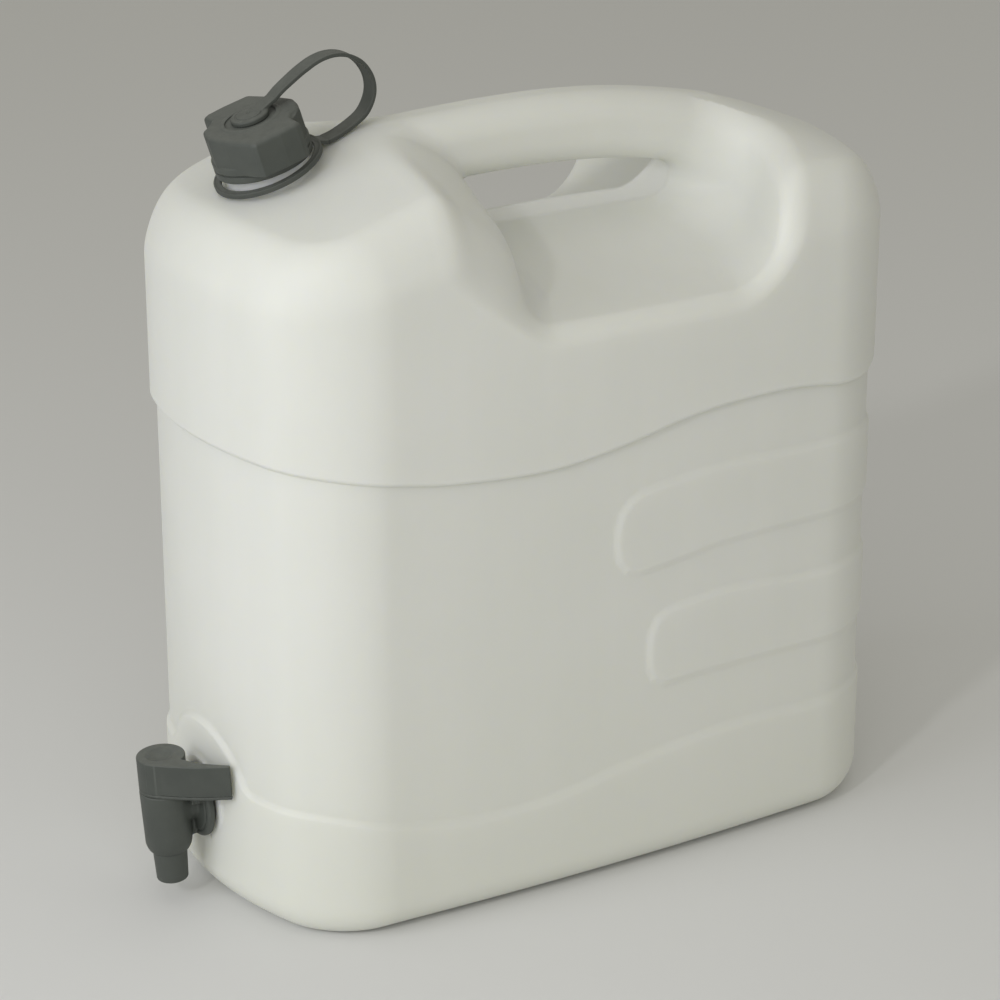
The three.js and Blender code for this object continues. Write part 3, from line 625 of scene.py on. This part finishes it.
def strap_eye(u, v, w):
    r = np.hypot(u, v)
    disc = both(both(r - EYE_R, w - EYE_TOP + 0.010 * r * r, 0.9), EYE_LOW - w, 0.35)
    disc = cut(disc, both(np.abs(r - 6.7) - 0.35, 29.55 - w, 0.2), 0.3)
    disc = cut(disc, np.sqrt(u * u + v * v + (w - 31.3) ** 2) - 1.5, 0.3)
    # root of the band, rising from the disc
    s = np.clip(u, 0, 16)
    mid = 29.0 + 2.55 * smooth(s, 3.0, 14.2)
    thick = 1.35 - 0.4 * smooth(s, 4, 13)
    wide = 4.7 - 0.3 * smooth(s, 7, 13.2)
    tongue = both(both(np.abs(v) - wide, (np.abs(w - mid) - thick) / np.sqrt(1 + 0.1 * smooth(s, 4, 9)), 0.5), np.abs(u - 8.7) - 5.5, 0.15)
    f = either(disc, tongue, 1.1)
    stem = both(r - 3.2, np.abs(w - 25.4) - 2.6, 0.2)
    button = both(both(r - 4.3, np.abs(w - 23.0) - 0.7, 0.2), (r - 2.4 - 2.0 * (w - 22.3)) / 2.24, 0.2)
    return either(either(f, stem, 0.3), button, 0.3)


# the band: a flat strip with a low lip along each edge, swept round the loop
LOOP = np.array([(-137.2, 403.2), (-133.4, 406.6), (-128, 410.5), (-121.8, 414.6), (-114.1, 418.6), (-106.4, 420.4), (-98.7, 419.6), (-91.1, 415.6), (-86, 409), (-84.3, 402.3), (-85.4, 396), (-89.2, 389.8), (-95.5, 385.4), (-103, 381.6), (-109.4, 379.4)], float)


def strip(points, n):
    """evenly spaced points and unit directions on a smooth curve through the given points"""
    p = np.vstack([2 * points[0] - points[1], points, 2 * points[-1] - points[-2]])
    out = []
    for i in range(1, len(p) - 2):
        for t in np.linspace(0, 1, 40, endpoint=False):
            out.append(0.5 * (2 * p[i] + (p[i + 1] - p[i - 1]) * t + (2 * p[i - 1] - 5 * p[i] + 4 * p[i + 1] - p[i + 2]) * t * t + (3 * p[i] - 3 * p[i + 1] + p[i + 2] - p[i - 1]) * t**3))
    out.append(p[-2])
    c = np.array(out)
    for _ in range(60):  # an even bend
        c[1:-1] += 0.25 * (c[2:] + c[:-2] - 2 * c[1:-1])
    d = np.r_[0, np.cumsum(np.linalg.norm(np.diff(c, axis=0), axis=1))]
    s = np.linspace(0, d[-1], n)
    c = np.stack([np.interp(s, d, c[:, k]) for k in range(2)], 1)
    g = np.gradient(c, axis=0)
    return c, g / np.linalg.norm(g, axis=1)[:, None], s


def build_band():
    n = 260
    c, g, s = strip(LOOP, n)
    nrm = np.stack([-g[:, 1], g[:, 0]], 1)  # across the strip, in the loop's plane
    half = []  # a quarter of the section, from the middle of the face to the middle of the edge: (side, out)
    for a in (0.0, 0.25, 0.5, 0.7, 0.78, 0.84, 0.9):
        half.append((a, -0.2 if a < 0.76 else -0.2 + 0.2 * min(1, (a - 0.76) / 0.08)))
    m = 9
    section = []
    for a, lip in half:
        section.append((a, 1.0, lip))
    corner = []
    for k in range(1, m):
        t = math.pi / 2 * k / (m - 1)
        corner.append((math.sin(t), math.cos(t)))
    verts, rows = [], []
    for i in range(n):
        wide = 5.0 - 0.65 * (1 - min(1, s[i] / 22.0)) ** 1.4 + 0.35 * max(0, 1 - (s[-1] - s[i]) / 6)
        thick = 0.95
        R = 0.42
        q = []
        for a, one, lip in section:
            q.append((a * (wide - R) / 0.9, thick + lip))
        for sn, cs in corner:
            q.append((wide - R + R * sn, thick - R + R * cs))
        low = [(x, -y) for x, y in reversed(q)]
        right_side = q + low
        left_side = [(-x, y) for x, y in reversed(right_side)][1:-1]
        ringp = right_side + left_side
        row = []
        for x, y in ringp:
            P = c[i] + nrm[i] * y
            row.append(len(verts))
            verts.append((P[0], x, P[1]))
        rows.append(row)
    faces = []
    k = len(rows[0])
    for i in range(n - 1):
        for j in range(k):
            faces.append((rows[i][j], rows[i][(j + 1) % k], rows[i + 1][(j + 1) % k], rows[i + 1][j]))
    me = bpy.data.meshes.new("strap_loop")
    me.from_pydata([tuple(v / 1000 for v in p) for p in verts], [], faces + [tuple(reversed(rows[0])), tuple(rows[-1])])
    me.validate()
    import bmesh

    bm = bmesh.new()
    bm.from_mesh(me)
    bmesh.ops.recalc_face_normals(bm, faces=bm.faces)
    for f in bm.faces:
        f.smooth = True
    bm.to_mesh(me)
    bm.free()
    ob = bpy.data.objects.new("strap_loop", me)
    bpy.context.scene.collection.objects.link(ob)
    me.set_sharp_from_angle(angle=math.radians(50))
    return ob


RING_AT, RING_LEAN = np.array([-140.1, 0, 370.7]), math.radians(22.5)
RING = tilt(RING_LEAN, RING_AT)


def strap_ring(u, v, w):
    r = np.hypot(u, v)
    f = both(both(r - 27.3, 23.6 - r, 0.45), np.abs(w) - 1.3, 0.45)
    f = cut(f, both(np.abs(r - 25.45) - 0.75, 1.12 - w, 0.2), 0.3)  # shallow groove along its top
    # tongue that runs out to the band, flaring where it leaves the ring
    s = np.clip((u - 24.6) / 7.1, 0, 1)
    mid = -0.2 - 3.55 * smooth(s, -0.1, 1.1)
    wide = 5.35 + 3.2 * (1 - s) ** 3
    t = both(both(np.abs(v) - wide, (np.abs(w - mid) - 0.97 - 0.3 * (1 - s)) / 1.1, 0.4), np.abs(u - 28.35) - 3.3, 0.15)
    return either(f, t, 0.9)


# ---------------------------------------------------------------------------------------------------------------------
# tap: made in the barrel's own frame, with w up the barrel and u towards the can
# ---------------------------------------------------------------------------------------------------------------------
BARREL_LOW, BARREL_TOP, PLUG_TOP_R, PLUG_LOW_R, SPOUT_LOW, HEAD_R, HEAD_TOP = -20.5, 10.0, 8.9, 8.45, -40.2, 12.2, 28.8
SEAL_W = (7.4, -17.2)


def plug_radius(w):
    return PLUG_LOW_R + (PLUG_TOP_R - PLUG_LOW_R) * (w - BARREL_LOW) / (BARREL_TOP - BARREL_LOW)


def brick(u, v, w, at, half, r):
    q = [np.abs(a - b) - h for a, b, h in zip((u, v, w), at, half)]
    return both(both(q[0], q[1], r), q[2], r)


def tap_housing(u, v, w):
    r = np.hypot(u, v)
    body = (r - (11.7 + 0.6 * (w - BARREL_LOW) / 30.5))
    chamfer = 0.841 * (r - 11.7) - 0.541 * (w - BARREL_LOW)
    f = both(both(both(body, chamfer, 1.2), w - BARREL_TOP, 0.6), -23.3 - w, 0.4)
    rr = np.hypot(v, w)
    neck_ = both(rr - 9.6 - 0.25 * (u - 10) / 4, np.abs(u - 10.5) - 5.5, 0.3)
    f = either(f, neck_, 2.0)
    ro = np.hypot(v, w + 1.5)  # the flange hangs a little low on the spigot
    cone = 0.987 * (13.2 + 0.163 * (ro - 9.8) - u)
    disc = both(both(ro - 18.9, np.abs(u - 15.6) - 2.4, 0.5), cone, 0.8)
    disc = both(disc, 0.72 * (ro - 18.2) + 0.69 * (14.9 - u), 0.5)
    disc = cut(disc, both(np.abs(ro - 15.6) - 0.5, u - 14.6, 0.3), 0.4)
    f = either(f, disc, 1.6)
    th = np.arctan2(w, v)
    turn = u - 3.0 * th / (2 * math.pi)
    spigot = both(rr - 12.3, np.abs(u - 27.5) - 11.2, 0.7)
    screw = both(both(np.abs(turn - 3.0 * np.round(turn / 3.0)) - 0.55, rr - 12.9, 0.3), np.abs(u - 28.5) - 8.6, 0.5)
    f = either(f, either(spigot, screw, 0.4), 0.6)
    # stop for the lever, and a web under the inlet
    f = either(f, brick(u, v, w, (13.6, -12.4, 6.6), (2.2, 2.0, 3.4), 0.6), 1.0)
    f = either(f, brick(u, v, w, (11.6, -12.0, 5.2), (3.0, 1.2, 2.2), 0.5), 1.0)
    f = either(f, brick(u, v, w, (11.6, -2.0, -13.5), (2.7, 1.6, 5.0), 0.5), 1.2)
    bore = both(r - (plug_radius(w) + 0.3), np.abs(w + 8) - 22, 0.1)
    f = cut(f, bore, 0.4)
    f = cut(f, both(rr - 6.2, np.abs(u - 24) - 18, 0.1), 0.5)
    return f


def tap_plug(u, v, w):
    r = np.hypot(u, v)
    k = np.clip((w - SPOUT_LOW) / 1.6, 0, 1)
    spout = r - (7.95 + 0.65 * (w - SPOUT_LOW) / 15.0)
    f = both(both(spout, SPOUT_LOW - w, 0.9), w + 23.9, 0.3)
    f = either(f, both(r - plug_radius(w), np.abs(w + 7.35) - 17.75, 0.4), 0.5)
    f = either(f, both(r - 5.4, np.abs(w - 15) - 6.8, 0.5), 0.4)
    for c in SEAL_W:
        f = cut(f, both(plug_radius(c) - 1.5 - r, np.abs(w - c) - 1.1, 0.15), 0.2)
    hollow = both(r - 5.9, np.abs(w + 18) - 22.6, 1.0)
    port = both(np.hypot(u, w) - 5.2, np.abs(v - 7) - 7, 0.1)
    return cut(f, either(hollow, port, 0.8), 0.4)


LEVER_IN = [(8.7, -15.2), (11.1, -19.2), (14.3, -22.9), (17.7, -26.4), (22.7, -31.2)]
LEVER_OUT = [(21.5, -32.9), (15.9, -29.4), (10.8, -26.1), (5.8, -22.4), (1.1, -18.2), (-3.6, -13.8), (-8, -9.2)]


def curve2(points, n):
    c, _, _ = strip(np.array(points, float), n)
    return [tuple(p) for p in c]


ARM = polygon2([(6.2, -10.4)] + curve2(LEVER_IN, 12) + curve2(LEVER_OUT, 18) + [(-10.9, -5.3), (-2, 2)])


def tap_lever(u, v, w):
    r = np.hypot(u, v)
    mid = (10.3 + HEAD_TOP) / 2
    plan = either(r - HEAD_R, ARM(u, v), 0.5)
    slab = np.abs(w - mid) - (HEAD_TOP - 10.3) / 2
    f = both(plan, slab, 0.75)
    # dished top with a flat rim, and a parting groove low on the skirt
    f = cut(f, np.sqrt((u + 0.6) ** 2 + (v - 0.6) ** 2 + (w - HEAD_TOP - 9.9) ** 2) - 12.2, 0.35)
    f = cut(f, both(np.abs(plan) - 0.35, np.abs(w - 12.0) - 0.3, 0.1), 0.2)
    sock = both(r - (PLUG_TOP_R + 0.3), w - (BARREL_TOP + 0.7), 0.3)
    f = cut(f, sock, 0.3)
    f = cut(f, both(r - 5.7, w - (HEAD_TOP - 6.7), 0.3), 0.3)
    return f


def tap_gasket(u, v, w):
    rr = np.hypot(v, w)
    f = both(both(rr - 17.3, 13.5 - rr, 0.3), np.abs(u - 18.8) - 0.5, 0.3)
    return either(f, both(np.abs(rr - 16.8) - 0.45, np.abs(u - 18.8) - 0.6, 0.2), 0.2)


def oring(c):
    R = plug_radius(c) - 1.5 + 0.8 + 0.05

    def f(u, v, w):
        return np.hypot(np.hypot(u, v) - R, w - c) - 0.8

    return f


def block(lo, hi, h, fine=((), (), ())):
    return [spaced(a, b, h, f) for a, b, f in zip(lo, hi, fine)]


def piece(name, f, lo, hi, h, faces, matrix):
    s = 1.0
    return solid(name, f, *block(lo, hi, h * s), faces=int(faces / (1)), matrix=matrix, rounds=5)


def build_small():
    out = {}
    out["screw_cap"] = piece("screw_cap_skin", cap, (-32, -32, 4), (32, 32, 29), 0.55, 90000, NECK)
    out["cap_seal"] = piece("cap_seal_skin", cap_seal, (-22, -22, 21), (22, 22, 25), 0.4, 30000, NECK)
    out["strap_eye"] = piece("strap_eye_skin", strap_eye, (-11, -11, 21.5), (16, 11, 33.5), 0.3, 40000, NECK)
    out["strap_ring"] = piece("strap_ring_skin", strap_ring, (-29, -29, -6), (33, 29, 3), 0.4, 60000, RING)
    out["tap_housing"] = piece("tap_housing_skin", tap_housing, (-14, -21, -25), (41, 21, 21), 0.5, 110000, TAP)
    out["tap_plug"] = piece("tap_plug_skin", tap_plug, (-10, -10, -41), (10, 10, 23.5), 0.42, 50000, TAP)
    out["tap_lever"] = piece("tap_lever_skin", tap_lever, (-14, -35, 9), (25, 14, 30.5), 0.42, 70000, TAP)
    out["tap_gasket"] = piece("tap_gasket_skin", tap_gasket, (17, -20, -20), (20.5, 20, 20), 0.35, 24000, TAP)
    out["plug_seal_upper"] = piece("plug_seal_upper_skin", oring(SEAL_W[0]), (-11, -11, 6), (11, 11, 8.8), 0.28, 14000, TAP)
    out["plug_seal_lower"] = piece("plug_seal_lower_skin", oring(SEAL_W[1]), (-11, -11, -18.6), (11, 11, -15.8), 0.28, 14000, TAP)
    return out


# ---------------------------------------------------------------------------------------------------------------------
# materials
# ---------------------------------------------------------------------------------------------------------------------
def material(name):
    m = bpy.data.materials.new(name)
    m.use_nodes = True
    nt = m.node_tree
    for n in list(nt.nodes):
        nt.nodes.remove(n)
    out = nt.nodes.new("ShaderNodeOutputMaterial")
    b = nt.nodes.new("ShaderNodeBsdfPrincipled")
    nt.links.new(b.outputs[0], out.inputs[0])
    return m, nt, b


def N(nt, kind, **props):
    n = nt.nodes.new(kind)
    for k, v in props.items():
        setattr(n, k, v)
    return n


def noise(nt, vector, scale, detail=2.0, rough=0.5):
    n = N(nt, "ShaderNodeTexNoise")
    n.inputs["Scale"].default_value = scale
    n.inputs["Detail"].default_value = detail
    n.inputs["Roughness"].default_value = rough
    nt.links.new(vector, n.inputs["Vector"])
    return n.outputs["Fac"]


def ramp(nt, fac, stops):
    r = N(nt, "ShaderNodeValToRGB")
    e = r.color_ramp.elements
    while len(e) < len(stops):
        e.new(0.5)
    for k, (pos, col) in enumerate(stops):
        e[k].position = pos
        e[k].color = (*col, 1) if len(col) == 3 else col
    nt.links.new(fac, r.inputs["Fac"])
    return r.outputs["Color"]


def maths(nt, op, a, b, clamp=False):
    m = N(nt, "ShaderNodeMath", operation=op, use_clamp=clamp)
    for k, x in enumerate((a, b)):
        if isinstance(x, (int, float)):
            m.inputs[k].default_value = x
        else:
            nt.links.new(x, m.inputs[k])
    return m.outputs[0]


def blend_colour(nt, fac, a, b, how="MIX"):
    m = N(nt, "ShaderNodeMix", data_type="RGBA", blend_type=how)
    for k, x in ((0, fac), (6, a), (7, b)):
        if isinstance(x, (int, float)):
            m.inputs[k].default_value = x
        elif isinstance(x, tuple):
            m.inputs[k].default_value = (*x, 1)
        else:
            nt.links.new(x, m.inputs[k])
    return m.outputs[2]


def bumps(nt, b, layers):
    """layers of (height, strength, distance in metres), coarse first"""
    last = None
    for height, strength, distance in layers:
        n = N(nt, "ShaderNodeBump")
        n.inputs["Strength"].default_value = strength
        n.inputs["Distance"].default_value = distance
        nt.links.new(height, n.inputs["Height"])
        if last is not None:
            nt.links.new(last, n.inputs["Normal"])
        last = n.outputs["Normal"]
    nt.links.new(last, b.inputs["Normal"])


def natural_plastic():
    """blow-moulded polyethylene in its natural milky colour: cloudy, a little translucent, satin"""
    m, nt, b = material("natural_plastic")
    L = nt.links.new
    co = N(nt, "ShaderNodeTexCoord").outputs["Object"]
    split = N(nt, "ShaderNodeSeparateXYZ")
    L(co, split.inputs[0])
    cloud = noise(nt, co, 7.0, 5.0, 0.55)
    colour = ramp(nt, cloud, [(0.3, (0.745, 0.755, 0.71)), (0.55, (0.77, 0.778, 0.74)), (0.75, (0.79, 0.796, 0.765))])
    # flow marks run up the wall
    stretch = N(nt, "ShaderNodeMapping")
    stretch.inputs["Scale"].default_value = (26, 26, 2.2)
    L(co, stretch.inputs["Vector"])
    flow = noise(nt, stretch.outputs["Vector"], 1.0, 3.0, 0.6)
    colour = blend_colour(nt, 0.35, colour, ramp(nt, flow, [(0.35, (0.745, 0.755, 0.715)), (0.7, (0.79, 0.796, 0.76))]))
    # darker and yellower towards the bottom
    low = N(nt, "ShaderNodeMapRange")
    low.inputs["From Min"].default_value = 0.0
    low.inputs["From Max"].default_value = 0.14
    low.inputs["To Min"].default_value = 0.55
    low.inputs["To Max"].default_value = 0.0
    L(split.outputs["Z"], low.inputs["Value"])
    colour = blend_colour(nt, low.outputs[0], colour, (0.725, 0.735, 0.655))
    L(colour, b.inputs["Base Color"])
    rough = N(nt, "ShaderNodeMapRange")
    rough.inputs["From Min"].default_value = 0.35
    rough.inputs["From Max"].default_value = 0.7
    rough.inputs["To Min"].default_value = 0.42
    rough.inputs["To Max"].default_value = 0.54
    L(noise(nt, co, 38.0, 4.0), rough.inputs["Value"])
    L(rough.outputs[0], b.inputs["Roughness"])
    b.inputs["IOR"].default_value = 1.5
    b.inputs["Specular IOR Level"].default_value = 0.38
    b.inputs["Subsurface Weight"].default_value = 0.7
    b.inputs["Subsurface Radius"].default_value = (1.0, 0.96, 0.72)
    b.inputs["Subsurface Scale"].default_value = 0.014
    bumps(nt, b, [(noise(nt, co, 16.0, 2.0), 0.25, 0.0009), (flow, 0.15, 0.0004), (noise(nt, co, 520.0, 2.0), 0.10, 0.00025)])
    return m


def dark_plastic(name, base, light, rough, dust_and_sheen_strength=0.12, grain=1500.0):
    """moulded grey plastic: fine grain, faint clouding, a paler colour on faces that look up that is partly dust and
    partly painted sheen, paler worn edges
    """
    m, nt, b = material(name)
    L = nt.links.new
    co = N(nt, "ShaderNodeTexCoord").outputs["Object"]
    geo = N(nt, "ShaderNodeNewGeometry")
    colour = ramp(nt, noise(nt, co, 55.0, 6.0, 0.6), [(0.32, base), (0.7, light)])
    paler = tuple(min(1, c * 1.35 + 0.012) for c in light)
    worn = maths(nt, "MULTIPLY", maths(nt, "SUBTRACT", geo.outputs["Pointiness"], 0.515, True), 7.0, True)
    worn = maths(nt, "MULTIPLY", worn, maths(nt, "ADD", noise(nt, co, 160.0, 3.0), 0.2))
    colour = blend_colour(nt, maths(nt, "MULTIPLY", worn, 0.7, True), colour, paler)
    split = N(nt, "ShaderNodeSeparateXYZ")
    L(geo.outputs["Normal"], split.inputs[0])
    # painted sheen mixed with dust: faces that look up are made paler, standing in partly for light falling on them
    dust_and_sheen = maths(nt, "MULTIPLY", maths(nt, "SUBTRACT", split.outputs["Z"], 0.35, True), maths(nt, "ADD", noise(nt, co, 240.0, 4.0, 0.7), 0.25))
    colour = blend_colour(nt, maths(nt, "MULTIPLY", dust_and_sheen, dust_and_sheen_strength * 4, True), colour, (0.30, 0.31, 0.285))
    L(colour, b.inputs["Base Color"])
    r = N(nt, "ShaderNodeMapRange")
    r.inputs["To Min"].default_value = rough - 0.07
    r.inputs["To Max"].default_value = rough + 0.08
    L(noise(nt, co, 90.0, 3.0), r.inputs["Value"])
    L(r.outputs[0], b.inputs["Roughness"])
    bumps(nt, b, [(noise(nt, co, 70.0, 2.0), 0.12, 0.0003), (noise(nt, co, grain, 2.0), 0.22, 0.00015)])
    return m


def put(ob, m):
    ob.data.materials.clear()
    ob.data.materials.append(m)


MATERIALS = {
    "natural_plastic": natural_plastic(),
    "grey_plastic": dark_plastic("grey_plastic", (0.056, 0.063, 0.056), (0.069, 0.077, 0.068), 0.52),
    "strap_plastic": dark_plastic("strap_plastic", (0.054, 0.060, 0.053), (0.066, 0.073, 0.064), 0.57, grain=1100.0),
    "seal_rubber": dark_plastic("seal_rubber", (0.018, 0.018, 0.017), (0.028, 0.028, 0.027), 0.72, 0.05, 2200.0),
}
SLOT = {"can_body": "natural_plastic", "strap_eye": "strap_plastic", "strap_ring": "strap_plastic", "cap_seal": "seal_rubber", "tap_gasket": "seal_rubber", "plug_seal_upper": "seal_rubber", "plug_seal_lower": "seal_rubber"}
BODY = {"can_body": "root", "strap_ring": "root", "tap_housing": "root", "tap_gasket": "root", "strap_eye": "cap_carrier", "screw_cap": "cap", "cap_seal": "cap", "tap_plug": "tap_valve", "tap_lever": "tap_valve", "plug_seal_upper": "tap_valve", "plug_seal_lower": "tap_valve"}

made = {"can_body": build_can(), **build_small()}
for node, ob in made.items():
    slot = SLOT.get(node, "grey_plastic")
    put(ob, MATERIALS[slot])
    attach(ob, BODY[node])
    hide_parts(node)

thread = build_thread()
put(thread, MATERIALS["natural_plastic"])
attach(thread, "root")
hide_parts("can_body")

loop = build_band()
put(loop, MATERIALS["strap_plastic"])
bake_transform(loop)
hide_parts("strap_band")

# ---------------------------------------------------------------------------------------------------------------------
# floor, light, camera
# ---------------------------------------------------------------------------------------------------------------------


def stage():
    me = bpy.data.meshes.new("floor")
    s = 6.0
    me.from_pydata([(-s, -s, 0), (s, -s, 0), (s, s, 0), (-s, s, 0)], [], [(0, 1, 2, 3)])
    fl = bpy.data.objects.new("floor", me)
    bpy.context.scene.collection.objects.link(fl)
    m, nt, b = material("floor_paper")
    b.inputs["Base Color"].default_value = (0.75, 0.75, 0.745, 1)
    b.inputs["Roughness"].default_value = 0.9
    put(fl, m)
    fl.location.z = -0.0005

    w = bpy.data.worlds.new("studio")
    bpy.context.scene.world = w
    w.use_nodes = True
    bg = w.node_tree.nodes["Background"]
    bg.inputs[0].default_value = (0.875, 0.86, 0.775, 1)
    bg.inputs[1].default_value = 0.46

    def area(name, direction, dist, size, power, target=(0, 0, 0.2), color=(1, 1, 1)):
        ld = bpy.data.lights.new(name, "AREA")
        ld.shape = "DISK"
        ld.size = size
        ld.energy = power
        ld.color = color
        ob = bpy.data.objects.new(name, ld)
        d = Vector(direction).normalized()
        ob.location = Vector(target) + d * dist
        ob.rotation_euler = d.to_track_quat("Z", "Y").to_euler()
        bpy.context.scene.collection.objects.link(ob)
        return ob

    area("key", (-0.75, -0.43, 0.5), 3.2, 0.24, 13, color=(1.0, 1.0, 0.99))
    area("end", (-1.0, -0.1, 0.35), 1.9, 1.3, 9.1, color=(0.95, 0.98, 1.05))
    area("top", (-0.15, -0.1, 1.0), 2.6, 2.0, 3.0, color=(1.0, 1.0, 1.0))
    area("fill", (-0.5, -0.85, 0.42), 1.5, 1.1, 4.1, color=(0.99, 0.99, 1.0))

    back = Vector((-0.4955, -0.7961, 0.3475))
    right = Vector((0.849, -0.5284, 0)).normalized()
    up = back.cross(right).normalized()
    cam = bpy.data.cameras.new("camera")
    ob = bpy.data.objects.new("camera", cam)
    cam.sensor_width = 36
    f = 3100.0
    cam.lens = f / 1000 * 36
    ox, oy = 18.94, -29.64
    # aim so that the picture's middle looks where the photograph's middle looks
    v = right * (-ox / f) + up * (oy / f) - back
    axis = -v.normalized()
    r2 = Vector((0, 0, 1)).cross(axis).normalized()
    u2 = axis.cross(r2).normalized()
    M = Matrix((r2, u2, axis)).transposed().to_4x4()
    M.translation = back.normalized() * 1.598 + Vector((0, 0, 0.190))
    ob.matrix_world = M
    cam.clip_end = 50
    bpy.context.scene.collection.objects.link(ob)
    bpy.context.scene.camera = ob
    bpy.context.scene.view_settings.view_transform = "Standard"


stage()
